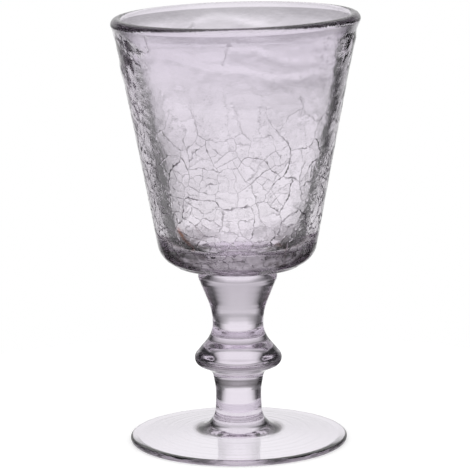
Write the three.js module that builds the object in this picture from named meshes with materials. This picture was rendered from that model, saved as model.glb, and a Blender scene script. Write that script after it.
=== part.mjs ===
// A crackle-glass wine goblet: bowl, stem, knop and foot are one piece of pale grey-violet glass.
// Units are millimetres and +Z is up. The origin is the middle of the foot, on the surface it stands on.
import * as THREE from 'three';

// Foot: a thin disc that stands on a flat ring, with a shallow hollow inside the ring
const FOOT_RADIUS = 39.9;
const FOOT_EDGE_THICKNESS = 1.9;
const FOOT_EDGE_ROUNDING = 0.9;
const FOOT_CROWN_HEIGHT = 4.9; // where the slope of the foot would reach the stem
const FOOT_TO_STEM_ROUNDING = 8;
const RESTING_RING_WIDTH = 9;
const HOLLOW_DEPTH = 1.2;
const HOLLOW_FLAT_RADIUS = 12;
const HOLLOW_ROUNDING = 60;

// Lower stem, from the foot up to the knop
const STEM_ROOT_RADIUS = 8.8;
const NECK_RADIUS = 8.2;
const NECK_ABOVE_CROWN = 13.7;
const NECK_ROUNDING = 25;
const KNOP_UNDERSIDE_RADIUS = 9.6;
const KNOP_UNDERSIDE_ABOVE_NECK = 7.4;
const KNOP_UNDERSIDE_ROUNDING = 4;

// Knop: a flared disc, sized to the sharp corner that its edge is rounded from
const KNOP_RADIUS = 17.75;
const KNOP_RISE = 3.8;
const KNOP_EDGE_ROUNDING = 2.9;

// Upper stem, from the knop through a waist to the collar under the bowl
const WAIST_RADIUS = 9.3;
const WAIST_ABOVE_KNOP = 10.2;
const WAIST_LENGTH = 8.2;
const WAIST_LOWER_ROUNDING = 10.3;
const WAIST_UPPER_ROUNDING = 22;
const COLLAR_RADIUS = 15;
const COLLAR_ABOVE_WAIST = 13.9;
const COLLAR_ROUNDING = 2.9;
const SEAT_RADIUS = 13.6; // the crease where the stem meets the bowl
const SEAT_ABOVE_COLLAR = 1.3;

// Bowl, outside: a straight cone over a rounded base
const BOWL_HEIGHT = 93.6; // from the seat to the rim
const BASE_RADIUS = 28.5;
const BASE_ABOVE_SEAT = 3.7;
const BASE_ROUNDING = 9.3;
const RIM_RADIUS = 45.5;
const LIP_OUTER_ROUNDING = 2.3;

// Bowl, inside: the wall is thick below and thins out towards the lip
const FLOOR_THICKNESS = 12; // from the seat to the floor of the cavity
const WALL_AT_FLOOR = 8.2;
const FLOOR_ROUNDING = 5.5;
const WALL_AT_SHOULDER = 6.1;
const SHOULDER_BELOW_RIM = 17;
const SHOULDER_ROUNDING = 60;
const WALL_AT_LIP = 4.1;
const LIP_INNER_ROUNDING = 1.5;

// Marks of hand work
const RIM_TILT_DEGREES = 1.1; // the rim stands higher at +X
const CAVITY_DRIFT = 1.3; // how far half way up the cavity lies off the axis, towards +X

// Fineness of the surface
const SEGMENTS_AROUND = 56;
const DEGREES_PER_ARC_STEP = 20;
const LONGEST_CAVITY_STEP = 10;

const neckHeight = FOOT_CROWN_HEIGHT + NECK_ABOVE_CROWN;
const knopUndersideHeight = neckHeight + KNOP_UNDERSIDE_ABOVE_NECK;
const knopHeight = knopUndersideHeight + KNOP_RISE;
const waistHeight = knopHeight + WAIST_ABOVE_KNOP;
const waistTopHeight = waistHeight + WAIST_LENGTH;
const collarHeight = waistTopHeight + COLLAR_ABOVE_WAIST;
const seatHeight = collarHeight + SEAT_ABOVE_COLLAR;
const baseHeight = seatHeight + BASE_ABOVE_SEAT;
const floorHeight = seatHeight + FLOOR_THICKNESS;
const rimHeight = seatHeight + BOWL_HEIGHT;
const shoulderHeight = rimHeight - SHOULDER_BELOW_RIM;

// Radius of the bowl's outer wall at a height, on the straight line from its base to the rim.
function outerWallRadius(height) {
  const share = (height - baseHeight) / (rimHeight - baseHeight);
  return THREE.MathUtils.lerp(BASE_RADIUS, RIM_RADIUS, share);
}

// A corner of the profile: radius from the axis, height, and the radius of the arc that rounds it.
function corner(radius, height, rounding = 0) {
  return { point: new THREE.Vector2(radius, height), rounding };
}

const footCorners = [
  corner(0, HOLLOW_DEPTH),
  corner(HOLLOW_FLAT_RADIUS, HOLLOW_DEPTH, HOLLOW_ROUNDING),
  corner(FOOT_RADIUS - RESTING_RING_WIDTH, 0),
  corner(FOOT_RADIUS, 0, FOOT_EDGE_ROUNDING),
  corner(FOOT_RADIUS, FOOT_EDGE_THICKNESS, FOOT_EDGE_ROUNDING),
];

const stemCorners = [
  corner(STEM_ROOT_RADIUS, FOOT_CROWN_HEIGHT, FOOT_TO_STEM_ROUNDING),
  corner(NECK_RADIUS, neckHeight, NECK_ROUNDING),
  corner(KNOP_UNDERSIDE_RADIUS, knopUndersideHeight, KNOP_UNDERSIDE_ROUNDING),
  corner(KNOP_RADIUS, knopHeight, KNOP_EDGE_ROUNDING),
  corner(WAIST_RADIUS, waistHeight, WAIST_LOWER_ROUNDING),
  corner(WAIST_RADIUS, waistTopHeight, WAIST_UPPER_ROUNDING),
  corner(COLLAR_RADIUS, collarHeight, COLLAR_ROUNDING),
  corner(SEAT_RADIUS, seatHeight),
];

const bowlCorners = [
  corner(BASE_RADIUS, baseHeight, BASE_ROUNDING),
  corner(RIM_RADIUS, rimHeight, LIP_OUTER_ROUNDING),
  corner(RIM_RADIUS - WALL_AT_LIP, rimHeight, LIP_INNER_ROUNDING),
  corner(outerWallRadius(shoulderHeight) - WALL_AT_SHOULDER, shoulderHeight, SHOULDER_ROUNDING),
  corner(outerWallRadius(floorHeight) - WALL_AT_FLOOR, floorHeight, FLOOR_ROUNDING),
  corner(0, floorHeight),
];

// Length that a corner's arc takes from each of the two lines that meet there.
function tangentLength(before, { point, rounding }, after) {
  if (rounding === 0) return 0;
  const turn = lineTurn(before.point, point, after.point);
  return rounding * Math.tan(Math.abs(turn) / 2);
}

// Signed angle by which the profile turns at a point.
function lineTurn(before, point, after) {
  const incoming = point.clone().sub(before);
  const outgoing = after.clone().sub(point);
  return Math.atan2(incoming.cross(outgoing), incoming.dot(outgoing));
}

// Two arcs that share a line too short for both shrink until they just meet.
function fittedTangents(corners) {
  const last = corners.length - 1;
  const wanted = corners.map((here, i) =>
    i === 0 || i === last ? 0 : tangentLength(corners[i - 1], here, corners[i + 1]));
  const lineShare = corners.slice(1).map((next, i) => {
    const length = next.point.distanceTo(corners[i].point);
    return Math.min(1, length / Math.max(wanted[i] + wanted[i + 1], 1e-9));
  });
  return wanted.map((tangent, i) =>
    tangent * Math.min(lineShare[i - 1] ?? 1, lineShare[i] ?? 1));
}

// Points of the arc that replaces a corner, from one tangent point to the other.
function arcPoints(before, point, after, tangent) {
  const turn = lineTurn(before, point, after);
  const radius = tangent / Math.tan(Math.abs(turn) / 2);
  const side = Math.sign(turn);
  const direction = point.clone().sub(before).normalize();
  const start = point.clone().addScaledVector(direction, -tangent);
  const inward = new THREE.Vector2(-direction.y, direction.x).multiplyScalar(side);
  const centre = start.clone().addScaledVector(inward, radius);
  const steps = Math.ceil(THREE.MathUtils.radToDeg(Math.abs(turn)) / DEGREES_PER_ARC_STEP);
  const points = [];
  for (let step = 0; step <= steps; step += 1) {
    points.push(start.clone().rotateAround(centre, (turn * step) / steps));
  }
  return points;
}

// The outline from the corners, each rounded by its own arc.
function roundedProfile(corners) {
  const tangents = fittedTangents(corners);
  return corners.flatMap(({ point }, i) => {
    if (tangents[i] === 0) return [point];
    return arcPoints(corners[i - 1].point, point, corners[i + 1].point, tangents[i]);
  });
}

// How far up the cavity a height is: 0 at its floor and below, 1 at the rim.
function cavityShare(height) {
  return THREE.MathUtils.clamp((height - floorHeight) / (rimHeight - floorHeight), 0, 1);
}

// Whether a point of the profile lies on the cavity's side of the lip.
function isInCavity({ x: radius, y: height }) {
  return height >= floorHeight && radius < outerWallRadius(height) - WALL_AT_LIP / 2;
}

// The cavity drifts off the axis along a curve, so its straight wall is divided into rings.
function withCavityRings(profile) {
  return profile.flatMap((point, i) => {
    const next = profile[i + 1];
    const isWall = next && isInCavity(point) && next.y > floorHeight;
    const steps = isWall ? Math.ceil(point.distanceTo(next) / LONGEST_CAVITY_STEP) : 1;
    return Array.from({ length: steps }, (_, step) => point.clone().lerp(next ?? point, step / steps));
  });
}

// Moves the rings of the cavity off the axis, and tilts the bowl so that its rim isn't level.
function addHandWork(geometry, profile) {
  const riseAcross = Math.tan(THREE.MathUtils.degToRad(RIM_TILT_DEGREES));
  const position = geometry.attributes.position;
  for (let i = 0; i < position.count; i += 1) {
    const [x, z] = [position.getX(i), position.getZ(i)];
    const share = cavityShare(z);
    const isDrifting = isInCavity(profile[i % profile.length]);
    const drift = isDrifting ? CAVITY_DRIFT * Math.sin(Math.PI * share) ** 2 : 0;
    position.setX(i, x + drift);
    position.setZ(i, z + riseAcross * share * x);
  }
}

function gobletGeometry() {
  const outline = roundedProfile([...footCorners, ...stemCorners, ...bowlCorners]);
  const profile = withCavityRings(outline);
  const geometry = new THREE.LatheGeometry(profile, SEGMENTS_AROUND);
  geometry.rotateX(Math.PI / 2);
  addHandWork(geometry, profile);
  geometry.computeVertexNormals();
  return geometry;
}

const glass = new THREE.MeshStandardMaterial({
  color: 0xcfc4d4,
  roughness: 0.04,
  metalness: 0,
  transparent: true,
  opacity: 0.35,
});

const goblet = new THREE.Mesh(gobletGeometry(), glass);
goblet.name = 'goblet';

const model = new THREE.Group();
model.add(goblet);

export default model;
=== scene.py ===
"""A wine goblet of crackle glass, blown and tooled in one piece, on a pale floor in soft studio light."""
import math
import random

import bpy
import numpy as np
from mathutils import Matrix, Vector, noise
from mathutils.geometry import delaunay_2d_cdt


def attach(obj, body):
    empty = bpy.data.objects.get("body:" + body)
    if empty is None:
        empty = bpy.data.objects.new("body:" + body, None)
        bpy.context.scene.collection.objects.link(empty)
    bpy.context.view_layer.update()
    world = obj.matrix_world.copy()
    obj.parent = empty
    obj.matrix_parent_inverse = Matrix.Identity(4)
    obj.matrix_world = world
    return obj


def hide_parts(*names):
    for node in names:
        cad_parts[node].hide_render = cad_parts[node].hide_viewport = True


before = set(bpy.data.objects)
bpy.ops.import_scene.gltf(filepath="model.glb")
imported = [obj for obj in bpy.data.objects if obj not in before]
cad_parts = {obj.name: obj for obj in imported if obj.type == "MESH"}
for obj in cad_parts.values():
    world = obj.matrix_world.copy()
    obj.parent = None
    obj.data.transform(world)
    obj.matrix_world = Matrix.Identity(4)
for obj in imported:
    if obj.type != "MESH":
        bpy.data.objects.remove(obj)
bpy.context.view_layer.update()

# Sizes of the goblet are in millimetres, and each point is scaled to metres when its mesh is made
MM = 0.001

# Foot
FOOT_RADIUS = 39.9
FOOT_EDGE_THICKNESS = 1.9
FOOT_EDGE_ROUNDING = 0.9
FOOT_CROWN_HEIGHT = 4.9
FOOT_TO_STEM_ROUNDING = 8
RESTING_RING_WIDTH = 3.5
HOLLOW_DEPTH = 2.2
HOLLOW_FLAT_RADIUS = 12
HOLLOW_ROUNDING = 60

# Lower stem and knop
STEM_ROOT_RADIUS = 8.8
NECK_RADIUS = 8.2
NECK_HEIGHT = 18.6
NECK_ROUNDING = 25
KNOP_UNDERSIDE_RADIUS = 9.6
KNOP_UNDERSIDE_HEIGHT = 26.0
KNOP_UNDERSIDE_ROUNDING = 4
KNOP_RADIUS = 17.75
KNOP_HEIGHT = 29.8
KNOP_EDGE_ROUNDING = 2.9

# Upper stem
WAIST_RADIUS = 9.3
WAIST_HEIGHT = 40.0
WAIST_TOP_HEIGHT = 48.2
WAIST_LOWER_ROUNDING = 10.3
WAIST_UPPER_ROUNDING = 22
COLLAR_RADIUS = 15
COLLAR_HEIGHT = 62.1
COLLAR_ROUNDING = 2.9
SEAT_RADIUS = 13.6
SEAT_HEIGHT = 63.4

# Bowl
BASE_RADIUS = 28.5
BASE_HEIGHT = 67.1
BASE_ROUNDING = 9.3
RIM_RADIUS = 45.5
RIM_HEIGHT = 157.0
LIP_OUTER_ROUNDING = 2.3
FLOOR_HEIGHT = 73.0
WALL_AT_FLOOR = 8.2
FLOOR_ROUNDING = 8
WALL_AT_SHOULDER = 6.1
SHOULDER_HEIGHT = 140.0
SHOULDER_ROUNDING = 60
WALL_AT_LIP = 4.1
LIP_INNER_ROUNDING = 1.5

# Marks of hand work
RIM_TILT = math.radians(1.1)
CAVITY_DRIFT = 1.3

# Fineness of the turned surfaces
SEGMENTS_AROUND = 128
ARC_STEP = math.radians(6)
SHORTEST = 1e-9
CAVITY_RING_STEP = 1.0
LOWER_RING_STEP = 0.6


def outer_wall_radius(height):
    """Radius of the bowl's outer wall, a straight cone from its base to the rim."""
    share = (height - BASE_HEIGHT) / (RIM_HEIGHT - BASE_HEIGHT)
    return BASE_RADIUS + (RIM_RADIUS - BASE_RADIUS) * share


# The outline from the middle of the underside to the middle of the cavity's floor: radius, height, rounding
LOWER_CORNERS = [
    (0, HOLLOW_DEPTH, 0),
    (HOLLOW_FLAT_RADIUS, HOLLOW_DEPTH, HOLLOW_ROUNDING),
    (FOOT_RADIUS - RESTING_RING_WIDTH, 0, 0),
    (FOOT_RADIUS, 0, FOOT_EDGE_ROUNDING),
    (FOOT_RADIUS, FOOT_EDGE_THICKNESS, FOOT_EDGE_ROUNDING),
    (STEM_ROOT_RADIUS, FOOT_CROWN_HEIGHT, FOOT_TO_STEM_ROUNDING),
    (NECK_RADIUS, NECK_HEIGHT, NECK_ROUNDING),
    (KNOP_UNDERSIDE_RADIUS, KNOP_UNDERSIDE_HEIGHT, KNOP_UNDERSIDE_ROUNDING),
    (KNOP_RADIUS, KNOP_HEIGHT, KNOP_EDGE_ROUNDING),
    (WAIST_RADIUS, WAIST_HEIGHT, WAIST_LOWER_ROUNDING),
    (WAIST_RADIUS, WAIST_TOP_HEIGHT, WAIST_UPPER_ROUNDING),
    (COLLAR_RADIUS, COLLAR_HEIGHT, COLLAR_ROUNDING),
    (SEAT_RADIUS, SEAT_HEIGHT, 0),
]
BASE_CORNER = (BASE_RADIUS, BASE_HEIGHT, BASE_ROUNDING)
UPPER_CORNERS = [
    (RIM_RADIUS, RIM_HEIGHT, LIP_OUTER_ROUNDING),
    (RIM_RADIUS - WALL_AT_LIP, RIM_HEIGHT, LIP_INNER_ROUNDING),
    (outer_wall_radius(SHOULDER_HEIGHT) - WALL_AT_SHOULDER, SHOULDER_HEIGHT, SHOULDER_ROUNDING),
    (outer_wall_radius(FLOOR_HEIGHT) - WALL_AT_FLOOR, FLOOR_HEIGHT, FLOOR_ROUNDING),
    (0, FLOOR_HEIGHT, 0),
]


def line_turn(before, point, after):
    """Signed angle by which the outline turns at a point."""
    incoming = point - before
    outgoing = after - point
    return math.atan2(incoming[0] * outgoing[1] - incoming[1] * outgoing[0], incoming @ outgoing)


def fitted_tangents(points, roundings):
    """Length that each corner's arc takes from its two lines. Arcs that share a short line shrink."""
    wanted = [0.0] * len(points)
    for i in range(1, len(points) - 1):
        turn = line_turn(points[i - 1], points[i], points[i + 1])
        wanted[i] = roundings[i] * math.tan(abs(turn) / 2)
    shares = [1.0] * len(points)
    for i in range(len(points) - 1):
        length = np.linalg.norm(points[i + 1] - points[i])
        share = min(1.0, length / max(wanted[i] + wanted[i + 1], SHORTEST))
        shares[i] = min(shares[i], share)
        shares[i + 1] = min(shares[i + 1], share)
    return [tangent * share for tangent, share in zip(wanted, shares)]


def corner_arc(before, point, after, tangent):
    """Points of the arc that replaces a corner, from one of its lines to the other."""
    turn = line_turn(before, point, after)
    radius = tangent / math.tan(abs(turn) / 2)
    direction = (point - before) / np.linalg.norm(point - before)
    inward = np.array([-direction[1], direction[0]]) * math.copysign(1, turn)
    start = point - direction * tangent
    centre = start + inward * radius
    steps = math.ceil(abs(turn) / ARC_STEP)
    arc = []
    for step in range(steps + 1):
        angle = turn * step / steps
        c, s = math.cos(angle), math.sin(angle)
        spoke = start - centre
        turned = np.array([c * spoke[0] - s * spoke[1], s * spoke[0] + c * spoke[1]])
        arc.append(centre + turned)
    return arc


def rounded_outline():
    """The outline as three runs of points: to the bowl's base, its outer wall, and lip to cavity floor."""
    corners = [*LOWER_CORNERS, BASE_CORNER, *UPPER_CORNERS]
    points = [np.array(corner[:2], float) for corner in corners]
    tangents = fitted_tangents(points, [corner[2] for corner in corners])
    pieces = []
    for i, point in enumerate(points):
        if tangents[i] == 0:
            pieces.append([point])
        else:
            pieces.append(corner_arc(points[i - 1], point, points[i + 1], tangents[i]))
    base = len(LOWER_CORNERS)
    lower = sum(pieces[:base], []) + pieces[base][:1]
    wall = pieces[base] + pieces[base + 1][:1]
    upper = sum(pieces[base + 1:], [])
    return lower, wall, upper


def with_rings(run, longest):
    """The run with its long lines divided, so that no step is longer than the given length."""
    out = [run[0]]
    for before, after in zip(run, run[1:]):
        steps = max(1, math.ceil(np.linalg.norm(after - before) / longest))
        out += [before + (after - before) * step / steps for step in range(1, steps + 1)]
    return out


def cavity_share(height):
    """How far up the cavity a height is: 0 at its floor and below, 1 at the rim."""
    return np.clip((height - FLOOR_HEIGHT) / (RIM_HEIGHT - FLOOR_HEIGHT), 0, 1)


def tilted(points):
    """The points with the bowl's tilt, which raises the rim at +X."""
    out = points.copy()
    out[:, 2] += math.tan(RIM_TILT) * cavity_share(points[:, 2]) * points[:, 0]
    return out


def directions(run):
    """Unit direction of an outline at each of its points."""
    along = np.gradient(run, axis=0)
    return along / np.linalg.norm(along, axis=1)[:, None]


def turned_rings(run, relief):
    """Points of a run turned about the axis, one row of SEGMENTS_AROUND points for each point of the run.
    The relief raises them along the outline's normal, in millimetres."""
    run = np.array(run)
    angles = np.arange(SEGMENTS_AROUND) * 2 * math.pi / SEGMENTS_AROUND
    rings = []
    for (radius, height), (along_r, along_z) in zip(run, directions(run)):
        rise = relief(radius, height, angles)
        radii = radius + rise * along_z
        heights = height - rise * along_r
        rings.append(np.stack([radii * np.cos(angles), radii * np.sin(angles), heights], 1))
    return np.array(rings)


# Marks that the tools and the breath leave, in millimetres: height of the relief, and length of its waves
TOOL_RING_RELIEF = 0.005
TOOL_RING_LENGTHS = (1.9, 3.1, 5.3)
TOOL_RING_TURNS = (1, -1, 2)
FOOT_RING_RELIEF = 0.006
CAVITY_WAVE_RELIEF = 0.011
CAVITY_WAVES = 9
CAVITY_WAVE_LENGTHS = (9, 22)
CAVITY_WAVE_TURNS = 9
# The waves fade in and out over one part in this many of the cavity's height, at its floor and its rim
CAVITY_FADE_IN = 6
CAVITY_FADE_OUT = 12
WAVE_SEED = 5


def tool_rings(radius, height, angles):
    """Faint rings of the stem and foot, which wind round a little as they were turned."""
    if height < FOOT_EDGE_THICKNESS:
        return np.zeros_like(angles)
    on_foot = height < FOOT_CROWN_HEIGHT and radius > STEM_ROOT_RADIUS
    place = radius if on_foot else height
    rings = sum(np.sin(2 * math.pi * place / length + angles * turns + length)
                for length, turns in zip(TOOL_RING_LENGTHS, TOOL_RING_TURNS))
    return rings * (FOOT_RING_RELIEF if on_foot else TOOL_RING_RELIEF)


def cavity_waves():
    """Soft waves of the blown inside, as a relief that dies out towards the rim and the floor."""
    rng = random.Random(WAVE_SEED)
    waves = []
    for _ in range(CAVITY_WAVES):
        length = rng.uniform(*CAVITY_WAVE_LENGTHS)
        turns = rng.randint(-CAVITY_WAVE_TURNS, CAVITY_WAVE_TURNS)
        waves.append((2 * math.pi / length, turns, rng.uniform(0, 2 * math.pi)))

    def relief(radius, height, angles):
        share = cavity_share(height)
        fade = min(1.0, CAVITY_FADE_IN * share, CAVITY_FADE_OUT * (1 - share))
        total = sum(np.sin(rise * height + turns * angles + phase) for rise, turns, phase in waves)
        return CAVITY_WAVE_RELIEF * fade * total

    return relief


# The crackle is laid out on the bowl's wall rolled out flat, at the scale of this radius
FLAT_RADIUS = 37.0
FLAT_WIDTH = 2 * math.pi * FLAT_RADIUS
FLAT_STEP = 0.25
FRONT_ANGLE = -90


class Wall:
    """The bowl's outer wall, rolled out so that shapes keep their angles: across is along the rim, up is
    along the outline."""

    def __init__(self, run):
        fine = np.array(with_rings(run, FLAT_STEP))
        steps = np.linalg.norm(np.diff(fine, axis=0), axis=1)
        scale = FLAT_RADIUS / ((fine[1:, 0] + fine[:-1, 0]) / 2)
        self.up = np.concatenate([[0], np.cumsum(steps * scale)])
        self.fine = fine
        along = directions(fine)
        self.outward = np.stack([along[:, 1], -along[:, 0]], 1)
        self.height = self.up[-1]

    def outline(self, up):
        """Radius, height and outward direction of the wall at a place up the flat sheet."""
        columns = [self.fine[:, 0], self.fine[:, 1], self.outward[:, 0], self.outward[:, 1]]
        return [np.interp(up, self.up, column) for column in columns]

    def up_at(self, height):
        return float(np.interp(height, self.fine[:, 1], self.up))

    def from_front(self, angle, height):
        """The place at an angle in degrees from the front, to the right, and at a height."""
        return (math.radians(FRONT_ANGLE + angle) * FLAT_RADIUS, self.up_at(height))

    def placed(self, flat, depth):
        """Points in space of places on the flat sheet, sunk by a depth below the smooth wall."""
        radius, height, out_r, out_z = self.outline(flat[:, 1])
        angle = flat[:, 0] / FLAT_RADIUS
        radius = radius - depth * out_r
        height = height - depth * out_z
        return np.stack([radius * np.cos(angle), radius * np.sin(angle), height], 1)

    def normals(self, flat, slope):
        """Outward directions of a relief on the wall, from its slopes across and up."""
        _, _, out_r, out_z = self.outline(flat[:, 1])
        angle = flat[:, 0] / FLAT_RADIUS
        c, s = np.cos(angle), np.sin(angle)
        outward = np.stack([out_r * c, out_r * s, out_z], 1)
        across = np.stack([-s, c, np.zeros_like(s)], 1)
        up = np.stack([-out_z * c, -out_z * s, out_r], 1)
        return outward - slope[:, :1] * across - slope[:, 1:] * up


# Crackle: sizes in millimetres on the flat sheet
CRACK_SEED = 41
CRACK_STEP = 2.8
CRACK_WANDER = 0.15
CRACK_HALF_WIDTH = (0.035, 0.085)
CRACK_DEPTH = (0.06, 0.4)
EDGE_MARGIN = 1.2
EDGE_FADE = 5.0

# The wide cells that the first cracks part, and the area down to which they are split again
CELL_SPACING = 13.0
CELL_NEAREST_SHARE = 0.68
CELL_TRIES = 30
CELL_AREA = (8, 46)
COPY_MARGIN = 50.0
CELLS_TOUCHING = 1e-7
# Height of an even triangle over its side, for points in close rows
ROW_SHARE = 0.87

# How strong a crack is, by how many splits of the glass came before it
STRENGTHS = [(0.2, 0.85), (0.16, 0.65), (0.12, 0.5), (0.1, 0.4), (0.08, 0.32)]
WEAKEST = 0.045
CROSSING_STRENGTH = 0.1
# Along a crack the strength changes slowly over a few stretches and quickly at each place. It fades over
# the last steps of a crack that ends in the glass.
SLOW_CHANGE = (0.3, 1.25)
SLOW_STRETCHES = 3
QUICK_CHANGE = (0.75, 1.1)
FADING_STEPS = 4
END_SHARE = 0.9
# The crackle is strong below the first height and faint above the second, on the goblet
STRONG_BELOW = 108.0
FAINT_ABOVE = 130.0
FAINTEST = 0.04

# How often a cell is split where the crackle is faintest, and how a crack that stops half way does
LEAST_SPLIT = 0.35
STOPPING_SHARE = 0.22
STOPPING_REACH = (0.35, 0.75)
# What makes a cut through a cell a poor one
CUT_TRIES = 30
OFF_MIDDLE_COST = 2.0
SLANT_COST = 0.5
CHANCE_COST = 0.5

# Cracks that stand alone in the upper bowl, as degrees from the front, to the right, and height
LONE_CRACKS = [
    [(-3, 150.5), (-4.6, 147.8), (-5.2, 146.2), (-6, 144)],
    [(-45, 153), (-45.6, 150.5), (-45.2, 148.5)],
    [(-1, 128.6), (0.5, 126)],
    [(34, 131), (37, 127.5), (36, 124)],
    [(-28, 120), (-30, 117), (-29, 113)],
    [(112, 150), (117, 146), (114, 141)],
    [(203, 148), (207, 143.5)],
    [(258, 139), (262, 135.5), (259, 131)],
]
LONE_STRENGTH = (0.12, 0.28)
LONE_CHANGE = (0.5, 1.1)

# The wall's mesh: points beside the cracks, and a loose grid between them
LEAST_CORNER_SINE = 0.55
SIDE_CLEARANCE = 0.7
BACKGROUND_SPACING = 1.12
BACKGROUND_WANDER = 0.22
BACKGROUND_CLEARANCE = 0.5
SEAM_OVERLAP = 14.0
TOUCHING = 0.004
GROOVED_ABOVE = 0.02


def flat_step(a, b):
    """Step from a to b on the flat sheet, the short way round."""
    return (math.remainder(b[0] - a[0], FLAT_WIDTH), b[1] - a[1])


def flat_distance(a, b):
    return math.hypot(*flat_step(a, b))


def scattered(rng, spacing, low, high):
    """Points scattered over the flat sheet from low to high, about the spacing apart."""
    nearest = spacing * CELL_NEAREST_SHARE
    points = []
    wanted = int(FLAT_WIDTH * (high - low) / (spacing * spacing * ROW_SHARE))
    for _ in range(wanted * CELL_TRIES):
        point = (rng.uniform(0, FLAT_WIDTH), rng.uniform(low, high))
        if all(flat_distance(point, other) > nearest for other in points):
            points.append(point)
        if len(points) >= wanted:
            break
    return points


def circle_centre(a, b, c):
    """Centre of the circle through three points."""
    d = 2 * (a.x * (b.y - c.y) + b.x * (c.y - a.y) + c.x * (a.y - b.y))
    aa, bb, cc = a.length_squared, b.length_squared, c.length_squared
    u = (aa * (b.y - c.y) + bb * (c.y - a.y) + cc * (a.y - b.y)) / d
    v = (aa * (c.x - b.x) + bb * (a.x - c.x) + cc * (b.x - a.x)) / d
    return (u, v)


def cells_around(points):
    """The cell around each scattered point, as its corners in turn."""
    copies = [(Vector((u + shift * FLAT_WIDTH, v)), i if shift == 0 else None)
              for shift in (-1, 0, 1) for i, (u, v) in enumerate(points)]
    copies = [copy for copy in copies if -COPY_MARGIN < copy[0].x < FLAT_WIDTH + COPY_MARGIN]
    places = [place for place, _ in copies]
    _, _, faces, _, _, _ = delaunay_2d_cdt(places, [], [], 0, CELLS_TOUCHING)
    corners = {}
    for face in faces:
        centre = circle_centre(*(places[i] for i in face))
        for i in face:
            corners.setdefault(copies[i][1], []).append((centre, places[i]))
    cells = []
    for i in range(len(points)):
        found = corners[i]
        found.sort(key=lambda pair: math.atan2(pair[0][1] - pair[1].y, pair[0][0] - pair[1].x))
        cells.append([centre for centre, _ in found])
    return cells


class Cracks:
    """A net of cracks: places on the flat sheet, each with a strength, and the lines that join them."""

    def __init__(self, rng, wall):
        self.rng = rng
        self.wall = wall
        self.places = []
        self.strength = []
        self.lines = []
        self.corners = {}
        self.sides = {}
        self.strong_below = wall.up_at(STRONG_BELOW)
        self.faint_above = wall.up_at(FAINT_ABOVE)

    def place(self, point, strength=0.0):
        """Adds a place and returns its number."""
        self.places.append((point[0] % FLAT_WIDTH, point[1]))
        self.strength.append(strength)
        return len(self.places) - 1

    def corner(self, point):
        """The place at a cell's corner, which its neighbours share."""
        key = (round(point[0] % FLAT_WIDTH, 2), round(point[1], 2))
        if key not in self.corners:
            self.corners[key] = self.place(point)
        return self.corners[key]

    def run(self, a, b, strength, reach=1.0):
        """A jagged crack from place a to b, or part of the way if reach is under 1, as its places."""
        start = self.places[a]
        step = flat_step(start, self.places[b])
        path = wandering(self.rng, start, (start[0] + step[0], start[1] + step[1]))
        count = len(path)
        run = [a]
        slow = [self.rng.uniform(*SLOW_CHANGE) for _ in range(SLOW_STRETCHES + 1)]
        for i in range(1, count - 1):
            if i / count > reach:
                break
            along = SLOW_STRETCHES * i / count
            waver = slow[int(along)] * (1 - along % 1) + slow[int(along) + 1] * (along % 1)
            fade = min(1.0, (reach * count - i) / FADING_STEPS) if reach < 1 else 1.0
            here = strength * waver * fade * self.rng.uniform(*QUICK_CHANGE) * self.share(path[i])
            run.append(self.place(path[i], here))
        if reach >= 1:
            run.append(b)
        self.lines += zip(run, run[1:])
        for end in (a, b) if reach >= 1 else (a,):
            near = strength * self.share(self.places[end])
            self.strength[end] = max(self.strength[end], near * END_SHARE)
        return run

    def share(self, point):
        """The crackle is strong over the lower bowl, faint above, and ends before the wall does."""
        up = point[1]
        level = (self.faint_above - up) / (self.faint_above - self.strong_below)
        level = min(1.0, max(0.0, level))
        edge = min(up, self.wall.height - up) - EDGE_MARGIN
        return (FAINTEST + (1 - FAINTEST) * level) * min(1.0, max(0.0, edge / EDGE_FADE))


def wandering(rng, a, b):
    """Points of a jagged line from a to b, found by moving each midpoint aside."""
    path = [a, b]
    while math.dist(path[0], path[1]) > CRACK_STEP:
        finer = [path[0]]
        for p, q in zip(path, path[1:]):
            aside = rng.uniform(-1, 1) * CRACK_WANDER
            u = (p[0] + q[0]) / 2 - (q[1] - p[1]) * aside
            v = (p[1] + q[1]) / 2 + (q[0] - p[0]) * aside
            finer += [(u, v), q]
        path = finer
    return path


def crack_net(rng, wall):
    """The whole net. The first cracks part the glass into wide cells, and each is split again and again."""
    cracks = Cracks(rng, wall)
    beyond = 2 * CELL_SPACING
    points = scattered(rng, CELL_SPACING, -beyond, wall.height + beyond)
    for corners in cells_around(points):
        inside = [0 < v < wall.height for _, v in corners]
        if not any(inside):
            continue
        cell = []
        ends = [cracks.corner(corner) for corner in corners]
        for a, b in zip(ends, ends[1:] + ends[:1]):
            if a == b:
                continue
            key = (min(a, b), max(a, b))
            if key not in cracks.sides:
                cracks.sides[key] = cracks.run(*key, rng.uniform(*STRENGTHS[0]))
            side = cracks.sides[key]
            cell += side[:-1] if side[0] == a else side[:0:-1]
        split(cracks, cell, 1)
    for line in LONE_CRACKS:
        lone_crack(cracks, line)
    return cracks


def lone_crack(cracks, line):
    """A crack through the given points, jagged between them."""
    strength = cracks.rng.uniform(*LONE_STRENGTH)
    points = [cracks.wall.from_front(*point) for point in line]
    path = [points[0]]
    for a, b in zip(points, points[1:]):
        path += wandering(cracks.rng, a, b)[1:]
    run = [cracks.place(point, strength * cracks.rng.uniform(*LONE_CHANGE)) for point in path]
    cracks.lines += zip(run, run[1:])


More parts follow.
